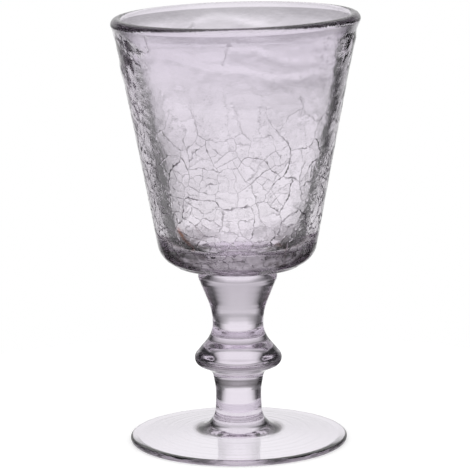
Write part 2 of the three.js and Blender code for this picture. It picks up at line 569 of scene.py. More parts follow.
def split(cracks, cell, generation):
    """Splits a cell by a crack from side to side, and then both halves, until the parts are small."""
    rng = cracks.rng
    outline = unrolled(cracks, cell)
    area = abs(shoelace(outline))
    middle = sum(v for _, v in outline) / len(outline)
    if area < rng.uniform(*CELL_AREA) or not 0 < middle < cracks.wall.height:
        return
    level = cracks.share((0, middle))
    if rng.random() > LEAST_SPLIT + (1 - LEAST_SPLIT) * level:
        return
    i, j = best_cut(rng, outline, area)
    strength = rng.uniform(*STRENGTHS[min(generation, len(STRENGTHS) - 1)])
    if rng.random() < STOPPING_SHARE:
        cracks.run(cell[i], cell[j], strength, reach=rng.uniform(*STOPPING_REACH))
        return
    run = cracks.run(cell[i], cell[j], strength)
    one = cell[i:j] + run[:0:-1]
    other = cell[j:] + cell[:i] + run[:-1]
    split(cracks, one, generation + 1)
    split(cracks, other, generation + 1)


def unrolled(cracks, cell):
    """The places of a cell's outline, side by side even where the cell crosses the sheet's edge."""
    outline = [cracks.places[cell[0]]]
    for i in cell[1:]:
        step = flat_step(outline[-1], cracks.places[i])
        outline.append((outline[-1][0] + step[0], outline[-1][1] + step[1]))
    return outline


def shoelace(outline):
    """Signed area of a closed outline."""
    return sum(a[0] * b[1] - b[0] * a[1] for a, b in zip(outline, outline[1:] + outline[:1])) / 2


def best_cut(rng, outline, area):
    """The best of some random cuts: short, near the middle, and square to the sides that it meets."""
    count = len(outline)
    best = None
    for _ in range(CUT_TRIES):
        i = rng.randrange(count)
        j = (i + rng.randint(count // 4, 3 * count // 4)) % count
        i, j = min(i, j), max(i, j)
        if j - i < 2 or count - (j - i) < 2:
            continue
        chord = math.dist(outline[i], outline[j])
        share = abs(shoelace(outline[i:j + 1])) / area
        slant = meeting(outline, i, j) + meeting(outline, j, i)
        cost = chord / math.sqrt(area) + OFF_MIDDLE_COST * abs(0.5 - share) + SLANT_COST * slant
        cost += rng.uniform(0, CHANCE_COST)
        if best is None or cost < best[0]:
            best = (cost, i, j)
    return best[1:] if best else (0, count // 2)


def meeting(outline, i, j):
    """0 where a cut from i to j leaves the side at i square, 1 where it runs along it."""
    before, after = outline[i - 1], outline[(i + 1) % len(outline)]
    side = math.atan2(after[1] - before[1], after[0] - before[0])
    cut = math.atan2(outline[j][1] - outline[i][1], outline[j][0] - outline[i][0])
    return abs(math.cos(side - cut))


def sized(pair, strength):
    """The size of a crack of some strength, between its sizes at the least and the greatest."""
    return pair[0] + (pair[1] - pair[0]) * np.clip(strength, 0, 1)


def thinned(cracks):
    """Leaves out lines that are too weak to show or leave the wall, and places that nothing joins."""
    margin = EDGE_MARGIN / 2
    inside = [margin < up < cracks.wall.height - margin for _, up in cracks.places]
    lines = [(a, b) for a, b in cracks.lines
             if inside[a] and inside[b] and max(cracks.strength[a], cracks.strength[b]) > WEAKEST]
    used = sorted({i for line in lines for i in line})
    number = {old: new for new, old in enumerate(used)}
    cracks.places = [cracks.places[i] for i in used]
    cracks.strength = [cracks.strength[i] for i in used]
    cracks.lines = [(number[a], number[b]) for a, b in lines]


def side_points(cracks):
    """Points along both sides of each crack, where its slope starts, and round each meeting."""
    around = {}
    for a, b in cracks.lines:
        around.setdefault(a, []).append(b)
        around.setdefault(b, []).append(a)
    segments = SegmentGrid(cracks)
    sides = []
    for i, neighbours in around.items():
        if len(neighbours) == 1:
            continue
        here = cracks.places[i]
        half = sized(CRACK_HALF_WIDTH, cracks.strength[i])
        headings = sorted(math.atan2(*reversed(flat_step(here, cracks.places[j]))) for j in neighbours)
        for k, heading in enumerate(headings):
            gap = (headings[(k + 1) % len(headings)] - heading) % (2 * math.pi)
            reach = half / max(math.sin(gap / 2), LEAST_CORNER_SINE) if gap < math.pi else half
            direction = heading + gap / 2
            point = (here[0] + reach * math.cos(direction), here[1] + reach * math.sin(direction))
            if segments.distance(point, i) > SIDE_CLEARANCE * half:
                sides.append((point[0] % FLAT_WIDTH, point[1]))
    return sides, segments


class SegmentGrid:
    """Finds the distance from a point to the nearest crack."""

    CELL = 1.6
    FAR = 99.0

    def __init__(self, cracks):
        self.cracks = cracks
        self.columns = int(FLAT_WIDTH / self.CELL)
        self.cells = {}
        for number, (a, b) in enumerate(cracks.lines):
            step = flat_step(cracks.places[a], cracks.places[b])
            u, v = cracks.places[a]
            for share in (0, 0.5, 1):
                key = self.key((u + step[0] * share, v + step[1] * share))
                self.cells.setdefault(key, set()).add(number)

    def key(self, point):
        column = int((point[0] % FLAT_WIDTH) / FLAT_WIDTH * self.columns) % self.columns
        return (column, int(point[1] // self.CELL))

    def distance(self, point, leave_out=None):
        """Distance from a point to the nearest line of the net, apart from those that meet leave_out."""
        column, row = self.key(point)
        best = self.FAR
        seen = set()
        for i in (-1, 0, 1):
            for j in (-1, 0, 1):
                for number in self.cells.get(((column + i) % self.columns, row + j), ()):
                    if number in seen:
                        continue
                    seen.add(number)
                    a, b = self.cracks.lines[number]
                    if leave_out in (a, b):
                        continue
                    best = min(best, segment_distance(point, self.cracks.places[a], self.cracks.places[b]))
        return best


def segment_distance(point, a, b):
    """Distance on the flat sheet from a point to the line from a to b."""
    along = flat_step(a, b)
    to = flat_step(a, point)
    length = along[0] ** 2 + along[1] ** 2
    share = min(1.0, max(0.0, (to[0] * along[0] + to[1] * along[1]) / length)) if length else 0.0
    return math.hypot(to[0] - along[0] * share, to[1] - along[1] * share)


def background_points(rng, wall, segments):
    """A loose grid of points over the glass between the cracks."""
    rows = int(wall.height / (BACKGROUND_SPACING * ROW_SHARE))
    columns = int(FLAT_WIDTH / BACKGROUND_SPACING)
    points = []
    for row in range(1, rows):
        for column in range(columns):
            u = column + 0.5 * (row % 2) + rng.uniform(-BACKGROUND_WANDER, BACKGROUND_WANDER)
            v = row + rng.uniform(-BACKGROUND_WANDER, BACKGROUND_WANDER)
            u, v = u * FLAT_WIDTH / columns, v * wall.height / rows
            if segments.distance((u, v)) > BACKGROUND_CLEARANCE:
                points.append((u % FLAT_WIDTH, v))
    return points


def crackled_wall(wall):
    """The bowl's outer wall as flat places and triangles, with the strength of the crack at each place and
    how near a crack is. The first SEGMENTS_AROUND places are the lower edge, the next the upper."""
    rng = random.Random(CRACK_SEED)
    cracks = crack_net(rng, wall)
    thinned(cracks)
    sides, segments = side_points(cracks)
    spread = [k * FLAT_WIDTH / SEGMENTS_AROUND for k in range(SEGMENTS_AROUND)]
    lower_edge = [(u, 0.0) for u in spread]
    upper_edge = [(u, wall.height) for u in spread]
    places = lower_edge + upper_edge + cracks.places + sides + background_points(rng, wall, segments)
    strength = np.zeros(len(places))
    first = 2 * SEGMENTS_AROUND
    strength[first:first + len(cracks.places)] = cracks.strength
    lines = [(a + first, b + first) for a, b in cracks.lines]
    places, triangles, strength = woven(places, lines, strength)
    near = np.array([segments.distance(place) for place in places])
    level = np.array([cracks.share(place) for place in places])
    return np.array(places), triangles, strength, np.exp(-(near / PILLOW_REACH) ** 2) * level


# Between the cracks the glass swells a little, and over the upper bowl it has soft ridges and wrinkles.
# Heights and lengths are in millimetres.
PILLOW_DEPTH = 0.05
PILLOW_REACH = 1.2
RELIEF_EDGE_FADE = 3
RIDGE_HEIGHT = 0.36
RIDGE_HALF_WIDTH = 1.3
RIDGE_SHOULDER = 3.2
WRINKLE_HEIGHT = 0.17
WRINKLE_LENGTHS = (9.0, 4.2)
WRINKLES_ABOVE = 104.0
WRINKLES_FULL = 122.0
WRINKLES_BELOW = 0.12
WRINKLE_RIM_FADE = 8
COARSE_WRINKLES = 0.7
FINE_WRINKLES = 0.22
# How much finer the fine wrinkles are, across and up, and how far aside they are taken from the same noise
FINE_ACROSS = 2.3
FINE_UP = 1.7
FINE_SHIFT = 7
# Ridges that face the front, as degrees from the front, to the right, and height
FRONT_RIDGES = [
    [(-60, 145.5), (-33, 146.5), (-20, 144), (-12, 142), (1, 141.5), (18, 138), (31, 137.5), (40, 139),
     (56, 136.5)],
    [(-20, 146.2), (-9, 145.5), (-3, 144.8)],
    [(-6, 149), (9, 148.5), (17, 146), (25, 144), (40, 143), (56, 142)],
    [(-20, 138.4), (-11, 142)],
    [(37, 148.4), (54, 148.6)],
]
# Ridges of chance at the sides and the back: where they start, in degrees, and how each goes on
OTHER_RIDGES = 9
OTHER_RIDGES_FROM = 62
OTHER_RIDGES_SPAN = 230
OTHER_RIDGES_ASIDE = 8
OTHER_RIDGE_HEIGHTS = (134, 152)
OTHER_RIDGE_POINTS = (3, 7)
OTHER_RIDGE_STRIDE = (8, 16)
OTHER_RIDGE_RISE = (-2.4, 2.2)
RIDGE_END_FADE = 5


def ridge_lines(rng):
    """Each ridge as degrees about the axis and heights."""
    lines = [[(FRONT_ANGLE + angle, height) for angle, height in ridge] for ridge in FRONT_RIDGES]
    for k in range(OTHER_RIDGES):
        angle = FRONT_ANGLE + OTHER_RIDGES_FROM + OTHER_RIDGES_SPAN * k / OTHER_RIDGES
        angle += rng.uniform(-OTHER_RIDGES_ASIDE, OTHER_RIDGES_ASIDE)
        height = rng.uniform(*OTHER_RIDGE_HEIGHTS)
        line = [(angle, height)]
        for _ in range(rng.randint(*OTHER_RIDGE_POINTS)):
            angle += rng.uniform(*OTHER_RIDGE_STRIDE)
            height += rng.uniform(*OTHER_RIDGE_RISE)
            line.append((angle, height))
        lines.append(line)
    return lines


def ridges(wall, flat):
    """Height of the long ridges: each falls steeply on its upper side and slowly below."""
    height = wall.outline(flat[:, 1])[1]
    total = np.zeros(len(flat))
    for line in ridge_lines(random.Random(WAVE_SEED)):
        angles, heights = np.array(line).T
        around = (np.degrees(flat[:, 0] / FLAT_RADIUS) - angles[0]) % 360
        reach = angles[-1] - angles[0]
        above = height - np.interp(around, angles - angles[0], heights)
        ends = np.clip(np.minimum(around, reach - around) / RIDGE_END_FADE, 0, 1)
        steep = np.exp(-(above / RIDGE_HALF_WIDTH) ** 2)
        slow = np.exp(above / RIDGE_SHOULDER)
        total += RIDGE_HEIGHT * ends * np.where(above > 0, steep, slow)
    return total


def wrinkles(wall, flat):
    """Creased swells that run round the upper bowl."""
    radius, height, _, _ = wall.outline(flat[:, 1])
    angle = flat[:, 0] / FLAT_RADIUS
    across, up = WRINKLE_LENGTHS
    total = np.zeros(len(flat))
    for k in range(len(flat)):
        x = radius[k] * math.cos(angle[k]) / across
        y = radius[k] * math.sin(angle[k]) / across
        z = height[k] / up
        coarse = 1 - abs(noise.noise((x, y, z))) * 2
        finer = (x * FINE_ACROSS + FINE_SHIFT, y * FINE_ACROSS, z * FINE_UP)
        fine = 1 - abs(noise.noise(finer)) * 2
        total[k] = coarse ** 3 * COARSE_WRINKLES + fine * FINE_WRINKLES
    level = np.clip((height - WRINKLES_ABOVE) / (WRINKLES_FULL - WRINKLES_ABOVE), WRINKLES_BELOW, 1)
    edge = np.clip((RIM_HEIGHT - height) / WRINKLE_RIM_FADE, 0, 1)
    return WRINKLE_HEIGHT * total * level * edge


def slopes(flat, triangles, relief):
    """Slope of the relief at each place, across and up, averaged over the triangles round it."""
    a, b, c = (flat[triangles[:, k]] for k in range(3))
    ab, ac = b - a, c - a
    for side in (ab, ac):
        side[:, 0] = (side[:, 0] + FLAT_WIDTH / 2) % FLAT_WIDTH - FLAT_WIDTH / 2
    rise_b = relief[triangles[:, 1]] - relief[triangles[:, 0]]
    rise_c = relief[triangles[:, 2]] - relief[triangles[:, 0]]
    area = ab[:, 0] * ac[:, 1] - ab[:, 1] * ac[:, 0]
    across = rise_b * ac[:, 1] - rise_c * ab[:, 1]
    up = rise_c * ab[:, 0] - rise_b * ac[:, 0]
    total = np.zeros((len(flat), 3))
    for k in range(3):
        np.add.at(total, triangles[:, k], np.stack([across, up, area], 1))
    return total[:, :2] / total[:, 2:]


def woven(places, lines, strength):
    """Triangles over the flat sheet, whose two edges meet, with a place where two cracks cross."""
    inputs = []
    number = {}
    for shift in (-1, 0, 1):
        for i, (u, v) in enumerate(places):
            across = u + shift * FLAT_WIDTH
            if -SEAM_OVERLAP < across < FLAT_WIDTH + SEAM_OVERLAP:
                number[(i, shift)] = len(inputs)
                inputs.append((i, Vector((across, v))))
    edges = []
    for a, b in lines:
        wraps = round((places[b][0] - places[a][0]) / FLAT_WIDTH)
        for shift in (-1, 0, 1):
            pair = (number.get((a, shift)), number.get((b, shift - wraps)))
            if None not in pair:
                edges.append(pair)
    points = [point for _, point in inputs]
    verts, _, faces, origins, _, _ = delaunay_2d_cdt(points, edges, [], 0, TOUCHING)
    places, strength = list(places), list(strength)
    owners = owners_of(verts, origins, inputs, places, strength)
    triangles = []
    for face in faces:
        middle = sum(verts[i].x for i in face) / 3
        corners = [owners[i] for i in face]
        if 0 <= middle < FLAT_WIDTH and len(set(corners)) == 3:
            triangles.append(corners)
    return kept_places(places, triangles, strength)


def owners_of(verts, origins, inputs, places, strength):
    """The place that each vertex of the triangles stands for. Adds a place where two cracks cross."""
    first_crossing = len(places)
    owners = []
    for vert, origin in zip(verts, origins):
        if origin:
            owners.append(min(inputs[i][0] for i in origin))
            continue
        here = (vert.x % FLAT_WIDTH, vert.y)
        for k in range(first_crossing, len(places)):
            if flat_distance(places[k], here) < 2 * TOUCHING:
                break
        else:
            k = len(places)
            places.append(here)
            strength.append(CROSSING_STRENGTH)
        owners.append(k)
    return owners


def kept_places(places, triangles, strength):
    """Leaves out the places that no triangle uses."""
    used = sorted({i for corners in triangles for i in corners})
    number = {old: new for new, old in enumerate(used)}
    triangles = [[number[i] for i in corners] for corners in triangles]
    return [places[i] for i in used], np.array(triangles), np.array([strength[i] for i in used])


def wall_relief(wall, flat, sunk):
    """Height of the ridges, wrinkles and swells at each place, none of it above the smooth wall."""
    edge = np.clip(np.minimum(flat[:, 1], wall.height - flat[:, 1]) / RELIEF_EDGE_FADE, 0, 1)
    relief = edge * (ridges(wall, flat) + wrinkles(wall, flat) - PILLOW_DEPTH * sunk)
    return (relief - relief.max()) * edge


def goblet_mesh():
    """The whole goblet as one closed mesh, with its crackled outer wall."""
    lower, wall_run, upper = rounded_outline()
    wall = Wall(wall_run)
    flat, triangles, strength, sunk = crackled_wall(wall)
    is_crack = strength > GROOVED_ABOVE
    depth = np.where(is_crack, sized(CRACK_DEPTH, strength), 0.0)
    relief = wall_relief(wall, flat, sunk)
    real_scale = wall.outline(flat[:, 1])[0] / FLAT_RADIUS
    wall_points = wall.placed(flat, (depth - relief) * real_scale)
    lower_rings = turned_rings(with_rings(lower[1:-1], LOWER_RING_STEP), tool_rings)
    upper_rings = turned_rings(with_rings(upper[1:-1], CAVITY_RING_STEP), cavity_waves())
    drift_cavity(upper_rings)
    blocks = [np.array([[0, 0, lower[0][1]]]), lower_rings.reshape(-1, 3), wall_points,
              upper_rings.reshape(-1, 3), np.array([[0, 0, FLOOR_HEIGHT]])]
    starts = np.cumsum([0] + [len(points) for points in blocks]).tolist()
    points = tilted(np.concatenate(blocks))
    faces, first_wall_face = goblet_faces(starts, triangles)

    mesh = bpy.data.meshes.new("crackle_goblet")
    mesh.from_pydata((points * MM).tolist(), [], faces)
    mesh.update()
    for name, on_wall in (("crack", np.where(is_crack, strength, 0)), ("rust", rust_flecks(wall, flat))):
        values = np.zeros(len(points))
        values[starts[2]:starts[3]] = on_wall
        keep_values(mesh, name, values)
    # Painted shade where thick glass bends in the dark
    keep_values(mesh, "painted_shade", painted_shade_levels(points))
    smooth = wall.normals(flat, slopes(flat, triangles, relief))
    shade(mesh, smooth, wall, flat, is_crack, triangles, first_wall_face)
    return mesh


def goblet_faces(starts, triangles):
    """The goblet's faces, and which of them is the wall's first. The starts number the first points of the
    underside's middle, the lower rings, the wall, the upper rings and the middle of the cavity's floor."""
    ring = SEGMENTS_AROUND
    _, lower, wall, upper, top, _ = starts
    lower_loops = [loop(first) for first in range(lower, wall + 1, ring)]
    upper_loops = [loop(first) for first in (wall + ring, *range(upper, top, ring))]
    faces = [(0, b, a) for a, b in pairs(lower_loops[0])]
    faces += between(lower_loops) + between(upper_loops)
    first_wall_face = len(faces)
    faces += [tuple(i + wall for i in triangle) for triangle in triangles.tolist()]
    faces += [(top, a, b) for a, b in pairs(upper_loops[-1])]
    return faces, first_wall_face


def keep_values(mesh, name, values):
    """Keeps a value for each vertex, which the material reads by its name."""
    mesh.attributes.new(name, "FLOAT", "POINT").data.foreach_set("value", values)


# Rust-brown flecks low on the wall, each from one place to another, as degrees from the front, to the
# right, and height, with its half width in millimetres and its strength
RUST_FLECKS = [
    ((-43, 82.5), (-39, 79.5), 1.3, 1.0),
    ((-39, 79.5), (-32, 76.4), 1.0, 0.9),
    ((28, 77.6), (36, 76.2), 0.8, 0.6),
]
RUST_GRAIN = 0.8
RUST_FULLNESS = 1.3


def rust_flecks(wall, flat):
    """How rusty each place of the wall is."""
    total = np.zeros(len(flat))
    for *ends, width, strength in RUST_FLECKS:
        a, b = [wall.from_front(*end) for end in ends]
        distance = np.array([segment_distance(place, a, b) for place in flat])
        total = np.maximum(total, strength * np.exp(-(distance / width) ** 2))
    grain = np.array([noise.noise((u / RUST_GRAIN, v / RUST_GRAIN, 0)) for u, v in flat])
    return np.clip(total * (RUST_FULLNESS + grain), 0, 1)


# Painted shade: dark tints that stand for the dark that thick glass bends in, over the corner of the bowl's
# base, mottled and heaviest at the left and right, under the knop, on the stem below it, and beside its
# root
BASE_SHADE = 0.45
BASE_SHADE_MORE_AT_SIDES = 0.6
BASE_SHADE_LESS_BEHIND = 0.4
BASE_SHADE_MOTTLE = 0.6
BASE_SHADE_GRAIN = 2.2
BASE_SHADE_TOP = 77.0
BASE_SHADE_FADE = 3.0
BASE_SHADE_RADIUS = 15.2
BASE_SHADE_BOTTOM = 63.0
KNOP_SHADE = 0.6
KNOP_SHADE_TOP = 32.0
KNOP_SHADE_FADE = 2.5
KNOP_SHADE_BOTTOM = 24.0
KNOP_SHADE_RADIUS = 11.0
KNOP_SHADE_REACH = 4.0
NECK_SHADE = 0.85
NECK_SHADE_HEIGHT = 22.0
NECK_SHADE_REACH = 0.9
ROOT_SHADE = 0.8
ROOT_SHADE_RADIUS = 17.5
ROOT_SHADE_TOP = 8.8
ROOT_SHADE_FADE = 2
ROOT_SHADE_SIDES = 0.6
ROOT_SHADE_SIDES_FADE = 0.3


def painted_shade_levels(points):
    """How dark each point of the goblet is tinted with painted shade."""
    radius = np.hypot(points[:, 0], points[:, 1])
    height = points[:, 2]
    sides = np.abs(points[:, 0]) / np.maximum(radius, 1)
    back = np.clip(points[:, 1] / BASE_SHADE_RADIUS, 0, 1)
    grain = np.array([noise.noise(Vector(point) / BASE_SHADE_GRAIN) for point in points])
    level = np.clip((BASE_SHADE_TOP - height) / BASE_SHADE_FADE, 0, 1) * np.clip(radius - BASE_SHADE_RADIUS, 0, 1)
    level *= BASE_SHADE + BASE_SHADE_MORE_AT_SIDES * sides - BASE_SHADE_LESS_BEHIND * back + BASE_SHADE_MOTTLE * grain
    base = np.where(height > BASE_SHADE_BOTTOM, np.clip(level, 0, 1), 0)
    knop = np.clip((KNOP_SHADE_TOP - height) / KNOP_SHADE_FADE, 0, 1)
    knop *= np.clip((radius - KNOP_SHADE_RADIUS) / KNOP_SHADE_REACH, 0, 1)
    knop = np.where((height > KNOP_SHADE_BOTTOM) & (height < BASE_SHADE_BOTTOM), KNOP_SHADE * knop, 0)
    neck = NECK_SHADE * np.exp(-((height - NECK_SHADE_HEIGHT) / NECK_SHADE_REACH) ** 2)
    neck = np.where(radius < KNOP_SHADE_RADIUS, neck, 0)
    return base + knop + neck + root_painted_shade(radius, height, sides)


def root_painted_shade(radius, height, sides):
    """The painted shade beside the stem's root: a ring on the foot, only at the left and right."""
    ring = np.clip((radius - STEM_ROOT_RADIUS) / ROOT_SHADE_FADE, 0, 1)
    ring *= np.clip((ROOT_SHADE_RADIUS - radius) / ROOT_SHADE_FADE, 0, 1)
    ring = np.where((height > FOOT_EDGE_THICKNESS) & (height < ROOT_SHADE_TOP), ROOT_SHADE * ring, 0)
    return ring * np.clip((sides - ROOT_SHADE_SIDES) / ROOT_SHADE_SIDES_FADE, 0, 1)


def loop(first):
    """The numbers of a ring's points."""
    return list(range(first, first + SEGMENTS_AROUND))


def pairs(ring_loop):
    """Each point of a ring with the next."""
    return zip(ring_loop, ring_loop[1:] + ring_loop[:1])


def between(loops):
    """Quads between each ring and the next, facing out."""
    faces = []
    for low, high in zip(loops, loops[1:]):
        for (a, b), (c, d) in zip(pairs(low), pairs(high)):
            faces.append((a, b, d, c))
    return faces


def drift_cavity(rings):
    """Moves the rings of the cavity off the axis, towards +X, most at half its height."""
    for row in rings:
        height = row[0, 2]
        radius = np.linalg.norm(row[0, :2])
        if height >= FLOOR_HEIGHT and radius < outer_wall_radius(height) - WALL_AT_LIP / 2:
            row[:, 0] += CAVITY_DRIFT * math.sin(math.pi * cavity_share(height)) ** 2


SHARP_ANGLE = math.radians(30)


def values_of(items, name, width, kind=np.float32):
    """A property of all items of a mesh, one row each."""
    values = np.empty(len(items) * width, kind)
    items.foreach_get(name, values)
    return values.reshape(-1, width)


def shade(mesh, smooth, wall, flat, is_crack, triangles, first_face):
    """Smooth glass with sharp edges where it turns by much, and flat sides in the cracks."""
    for polygon in mesh.polygons:
        polygon.use_smooth = True
    mesh.set_sharp_from_angle(angle=SHARP_ANGLE)
    normals = values_of(mesh.corner_normals, "vector", 3)
    share = cavity_share(wall.outline(flat[:, 1])[1])
    smooth[:, 0] -= math.tan(RIM_TILT) * share * smooth[:, 2]
    smooth /= np.linalg.norm(smooth, axis=1)[:, None]
    starts = values_of(mesh.polygons, "loop_start", 1, np.int32)[:, 0]
    face_normals = values_of(mesh.polygons, "normal", 3)
    cracked = is_crack[triangles].any(1)
    for k, triangle in enumerate(triangles):
        start = starts[first_face + k]
        normals[start:start + 3] = face_normals[first_face + k] if cracked[k] else smooth[triangle]
    mesh.normals_split_custom_set(normals)


class NodeTree:
    """The nodes of a material or a world. A value for a node is a constant or another node's socket."""

    def __init__(self, owner):
        owner.use_nodes = True
        self.tree = owner.node_tree
        self.tree.nodes.clear()

    def add(self, kind, values=None, **settings):
        """A new node with its settings, and with values for its inputs by name or number."""
        node = self.tree.nodes.new(kind)
        for name, setting in settings.items():
            setattr(node, name, setting)
        for name, value in (values or {}).items():
            self.feed(node.inputs[name], value)
        return node

    def feed(self, socket, value):
        if isinstance(value, bpy.types.NodeSocket):
            self.tree.links.new(value, socket)
        else:
            socket.default_value = value

    def attribute(self, name):
        return self.add("ShaderNodeAttribute", attribute_name=name).outputs["Fac"]

    def calculate(self, operation, *values):
        return self.add("ShaderNodeMath", dict(enumerate(values)), operation=operation).outputs[0]

    def ramp(self, value, low, high, top=1.0):
        """Goes from 0 to top as the value goes from low to high."""
        values = {"Value": value, "From Min": low, "From Max": high, "To Min": 0.0, "To Max": top}
        return self.add("ShaderNodeMapRange", values).outputs["Result"]

    def blend(self, share, a, b):
        """Blends from colour a to colour b."""
        node = self.add("ShaderNodeMix", {"Factor": share}, data_type="RGBA")
        colours = [socket for socket in node.inputs if socket.type == "RGBA"]
        for socket, value in zip(colours, (a, b)):
            self.feed(socket, value)
        return [socket for socket in node.outputs if socket.type == "RGBA"][0]

    def tones(self, turn, stops):
        """Tones over the azimuth, given as (degrees, tone). The first and last hold on to each end."""
        node = self.add("ShaderNodeValToRGB", {"Fac": turn})
        elements = node.color_ramp.elements
        while len(elements) > 1:
            elements.remove(elements[-1])
        for k, (azimuth, tone) in enumerate(stops):
            position = azimuth / 360 + 0.5
            element = elements[0] if k == 0 else elements.new(position)
            element.position = position
            element.color = (tone, tone, tone, 1)
        return node.outputs["Color"]

    def direction(self, vector):
        """The azimuth from +Y towards -X, as a share of a turn with +Y at a half, and the height."""
        axes = self.add("ShaderNodeSeparateXYZ", {0: vector})
        left = self.calculate("MULTIPLY", axes.outputs["X"], -1.0)
        azimuth = self.calculate("ARCTAN2", left, axes.outputs["Y"])
        return self.calculate("MULTIPLY_ADD", azimuth, 1 / (2 * math.pi), 0.5), axes.outputs["Z"]

    def show(self, output, plain, in_glass):
        """Shows the plain shader, and the other one to rays that glass bends or mirrors."""
        path = self.add("ShaderNodeLightPath").outputs
        share = self.calculate("MAXIMUM", path["Is Glossy Ray"], path["Is Transmission Ray"])
        mix = self.add("ShaderNodeMixShader", {0: share, 1: plain.outputs[0], 2: in_glass.outputs[0]})
        self.add(output, {"Surface": mix.outputs[0]})


def in_scene(name, data):
    """A new object in the scene."""
    thing = bpy.data.objects.new(name, data)
    bpy.context.scene.collection.objects.link(thing)
    return thing


# A pale grey-violet body: each channel loses density x (1 - colour) a metre
GLASS_COLOUR = (0.69, 0.635, 0.70, 1)
GLASS_DENSITY = 24.0
GLASS_IOR = 1.5
# Tint of the surface by height in millimetres, blended from each to the next
TINTS = [
    (5, (0.90, 0.865, 0.925, 1)),
    (12, (0.940, 0.895, 0.965, 1)),
    (62, (0.940, 0.895, 0.965, 1)),
    (80, (0.985, 0.966, 0.992, 1)),
    (128, (0.930, 0.900, 0.948, 1)),
    (146, (0.835, 0.798, 0.860, 1)),
]
# Colour of the painted shade that stands for the dark thick glass bends in
PAINTED_SHADE_TINT = (0.06, 0.045, 0.05, 1)
RUST_TINT = (0.36, 0.06, 0.008, 1)
# Painted shade in the cracks, and the crack strength at which it is full
CRACK_SHADE_TINT = (0.03, 0.02, 0.03, 1)
CRACK_FULL_SHADE = 0.5
CRACK_ROUGHNESS = 0.35
# The finest crinkles of the crackled wall, as bump: how many to the metre, across and up, and their height
CRINKLE_SCALE = (300, 300, 620)
CRINKLE_HEIGHT = 0.00006
CRINKLE_DETAIL = 3.0
CRINKLE_ROUGHNESS = 0.6
CRINKLES_ABOVE = 72.0
CRINKLES_FULL = 88.0


def glass_material():
    """Clear glass with a pale grey-violet body, a tint by height, painted shade where thick glass bends in
    the dark, and cracks darkened by painted shade.
    """
    material = bpy.data.materials.new("crackle_glass")
    nodes = NodeTree(material)
    place = nodes.add("ShaderNodeTexCoord").outputs["Object"]
    height = nodes.add("ShaderNodeSeparateXYZ", {0: place}).outputs["Z"]
    crack = nodes.attribute("crack")
    tone = TINTS[0][1]
    for (low, _), (high, colour) in zip(TINTS, TINTS[1:]):
        tone = nodes.blend(nodes.ramp(height, low * MM, high * MM), tone, colour)
    # Painted shade: the dark that thick glass bends in, over the base, knop, neck and beside the root
    tone = nodes.blend(nodes.attribute("painted_shade"), tone, PAINTED_SHADE_TINT)
    tone = nodes.blend(nodes.attribute("rust"), tone, RUST_TINT)
    # Painted shade darkens the cracks
    tone = nodes.blend(nodes.ramp(crack, 0.0, CRACK_FULL_SHADE), tone, CRACK_SHADE_TINT)
    shader = nodes.add("ShaderNodeBsdfPrincipled", {
        "Base Color": tone,
        "Roughness": nodes.ramp(crack, 0.0, 1.0, CRACK_ROUGHNESS),
        "IOR": GLASS_IOR,
        "Transmission Weight": 1.0,
        "Normal": crinkles(nodes, place, height),
    })
    absorption = nodes.add("ShaderNodeVolumeAbsorption", {"Color": GLASS_COLOUR, "Density": GLASS_DENSITY})
    surfaces = {"Surface": shader.outputs["BSDF"], "Volume": absorption.outputs["Volume"]}
    nodes.add("ShaderNodeOutputMaterial", surfaces)
    return material


def crinkles(nodes, place, height):
    """Normal of the fine crinkles, which end at the bowl's base."""
    scaled = nodes.add("ShaderNodeVectorMath", {0: place, 1: CRINKLE_SCALE}, operation="MULTIPLY")
    grain = nodes.add("ShaderNodeTexNoise", {
        "Vector": scaled.outputs[0],
        "Scale": 1.0,
        "Detail": CRINKLE_DETAIL,
        "Roughness": CRINKLE_ROUGHNESS,
    })
    bump = nodes.add("ShaderNodeBump", {
        "Strength": nodes.ramp(height, CRINKLES_ABOVE * MM, CRINKLES_FULL * MM),
        "Distance": CRINKLE_HEIGHT,
        "Height": grain.outputs["Fac"],
    })
    return bump.outputs["Normal"]


def make_goblet():
    mesh = goblet_mesh()
    mesh.materials.append(glass_material())
    return in_scene("crackle_goblet", mesh)


# Studio
WHITE = (1, 1, 1, 1)
FLOOR_RADIUS = 0.17
FLOOR_DROP = 0.00002
FLOOR_EDGE_SEGMENTS = 96
FLOOR_COLOUR = (0.92, 0.92, 0.92, 1)
FLOOR_GLOW = 0.25
FLOOR_IN_GLASS = 1.0


def mirrored(right):
    """The tones on one side of the middle, with the same on the other."""
    return [(-azimuth, tone) for azimuth, tone in reversed(right)] + right


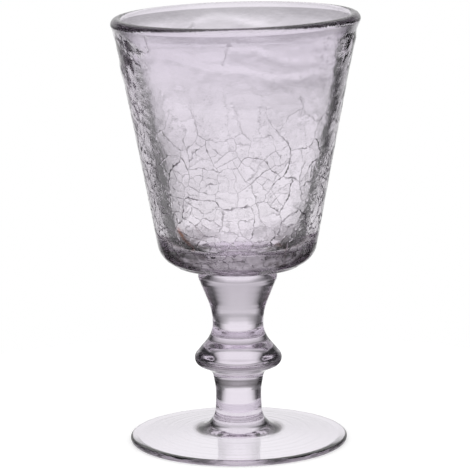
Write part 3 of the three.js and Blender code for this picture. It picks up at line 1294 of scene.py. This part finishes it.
# The surround that the glass shows, as tones by azimuth from +Y towards -X, at each elevation, in degrees.
# Dark flags stand to the left and right of the white wall behind the goblet, and join above it.
DARK = 0.03
SURROUND = [
    (-34, [(0, 1.0)]),
    (-28, [(-62, 1.0), (-54, 0.2), (-46, 0.06), (-40, 0.08), (-33, 0.8), (-26, 1.05), (30, 1.05),
           (42, 0.35), (56, 0.35), (66, 1.0)]),
    (-22, [(-60, 0.9), (-50, 0.05), (-39, 0.05), (-33, 0.3), (-25, 0.9), (-15, 1.05), (18, 1.05),
           (27, 0.75), (34, 0.4), (40, 0.13), (58, 0.13), (67, 1.0)]),
    (-15, [(-60, 0.8), (-50, 0.05), (-38, 0.05), (-33, 0.25), (-26, 0.5), (-12, 1.05), (14, 1.05),
           (26, 0.6), (34, 0.3), (40, 0.12), (58, 0.12), (67, 0.9)]),
    (-9, [(-100, 0.9), (-62, 0.5), (-50, 0.05), (-38, 0.06), (-31, 0.25), (-22, 0.5), (-12, 0.85),
          (12, 0.85), (22, 0.5), (31, 0.25), (40, 0.12), (58, 0.12), (67, 0.6), (100, 0.9)]),
    (-2, [(-120, 0.9), (-72, 0.5), (-56, 0.08), (-40, 0.1), (-24, 0.4), (-8, 0.58), (8, 0.58),
          (24, 0.4), (40, 0.12), (56, 0.12), (72, 0.5), (120, 0.9)]),
    (3, mirrored([(8, 0.76), (28, 0.72), (40, 0.25), (48, 0.04), (70, 0.05), (135, 0.06), (150, 0.9)])),
    (12, mirrored([(8, 0.7), (24, 0.62), (32, 0.55), (42, 0.08), (50, DARK), (135, 0.05), (150, 0.9)])),
    (17, mirrored([(6, 0.75), (20, 0.5), (28, 0.3), (36, DARK), (56, DARK), (135, 0.04), (150, 0.9)])),
    (21, mirrored([(8, 0.85), (16, 0.5), (30, 0.12), (50, 0.05), (135, 0.05), (150, 0.9)])),
    (30, mirrored([(25, 1.0), (40, 0.3), (60, 0.06), (110, 0.06), (130, 1.0)])),
    (50, mirrored([(45, 1.0), (70, 0.05), (110, 0.05), (130, 1.0)])),
    (70, [(0, 1.1)]),
]
# The floor round the goblet, as the glass shows it, by the same azimuth. Near the goblet it is white.
FLOOR_TONES = mirrored([(12, 1.0), (20, 0.9), (27, 0.55), (34, 0.12), (40, 0.04), (70, 0.1), (90, 0.3),
                        (110, 0.6)])
FLOOR_WHITE_WITHIN = 0.040
FLOOR_TONES_BEYOND = 0.052


def make_floor():
    """A pale disc. It clips to white where nothing shades it, and keeps the goblet's shadow."""
    mesh = bpy.data.meshes.new("floor")
    angles = [2 * math.pi * k / FLOOR_EDGE_SEGMENTS for k in range(FLOOR_EDGE_SEGMENTS)]
    edge = [(FLOOR_RADIUS * math.cos(a), FLOOR_RADIUS * math.sin(a), -FLOOR_DROP) for a in angles]
    mesh.from_pydata(edge, [], [tuple(range(FLOOR_EDGE_SEGMENTS))])
    mesh.materials.append(floor_material())
    return in_scene("floor", mesh)


def floor_material():
    """Pale, and in glass white under the goblet with the surround's flags beyond it."""
    material = bpy.data.materials.new("pale_floor")
    nodes = NodeTree(material)
    diffuse = nodes.add("ShaderNodeBsdfDiffuse", {"Color": FLOOR_COLOUR})
    glow = nodes.add("ShaderNodeEmission", {"Strength": FLOOR_GLOW})
    pale = nodes.add("ShaderNodeAddShader", {0: diffuse.outputs[0], 1: glow.outputs[0]})
    place = nodes.add("ShaderNodeTexCoord").outputs["Object"]
    turn, _ = nodes.direction(place)
    distance = nodes.add("ShaderNodeVectorMath", {0: place}, operation="LENGTH").outputs["Value"]
    beyond = nodes.ramp(distance, FLOOR_WHITE_WITHIN, FLOOR_TONES_BEYOND)
    tone = nodes.blend(beyond, WHITE, nodes.tones(turn, FLOOR_TONES))
    flagged = nodes.add("ShaderNodeEmission", {"Color": tone, "Strength": FLOOR_IN_GLASS})
    nodes.show("ShaderNodeOutputMaterial", pale, flagged)
    return material


def make_world():
    """White all round. The glass also shows the studio's dark flags, which draw its edges."""
    world = bpy.data.worlds.new("studio")
    bpy.context.scene.world = world
    nodes = NodeTree(world)
    plain = nodes.add("ShaderNodeBackground", {"Color": WHITE, "Strength": 1.0})
    flagged = nodes.add("ShaderNodeBackground", {"Color": flag_colour(nodes)})
    nodes.show("ShaderNodeOutputWorld", plain, flagged)


def flag_colour(nodes):
    """The surround's tone by fixed direction in the room, blended from each elevation to the next."""
    turn, up = nodes.direction(nodes.add("ShaderNodeTexCoord").outputs["Generated"])
    elevation = nodes.calculate("ARCSINE", up)
    below, stops = SURROUND[0]
    colour = nodes.tones(turn, stops)
    for above, stops in SURROUND[1:]:
        share = nodes.ramp(elevation, math.radians(below), math.radians(above))
        colour = nodes.blend(share, colour, nodes.tones(turn, stops))
        below = above
    return colour


# Camera, at the photograph's angle
CAMERA_DISTANCE = 1.0252
CAMERA_HEIGHT = 0.27295
CAMERA_PITCH = math.radians(10.855)
CAMERA_TURN = math.radians(0.046)
CAMERA_ROLL = math.radians(0.5)
FOCAL_LENGTH = 219.45
SENSOR_WIDTH = 36
# How often light may be bent or mirrored in the glass
BOUNCES = 24
MIRROR_BOUNCES = 12


def make_camera():
    data = bpy.data.cameras.new("camera")
    data.sensor_width = SENSOR_WIDTH
    data.lens = FOCAL_LENGTH
    camera = in_scene("camera", data)
    turn = Matrix.Rotation(CAMERA_TURN, 4, "Z")
    pitch = Matrix.Rotation(math.pi / 2 - CAMERA_PITCH, 4, "X")
    roll = Matrix.Rotation(-CAMERA_ROLL, 4, "Z")
    place = Matrix.Translation((0, -CAMERA_DISTANCE, CAMERA_HEIGHT))
    camera.matrix_world = place @ turn @ pitch @ roll
    bpy.context.scene.camera = camera


def set_bounces():
    cycles = bpy.context.scene.cycles
    cycles.max_bounces = BOUNCES
    cycles.transmission_bounces = BOUNCES
    cycles.glossy_bounces = MIRROR_BOUNCES


bpy.context.scene.view_settings.view_transform = "Standard"
make_camera()
make_world()
set_bounces()
make_floor()
goblet = make_goblet()
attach(goblet, "root")
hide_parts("goblet")
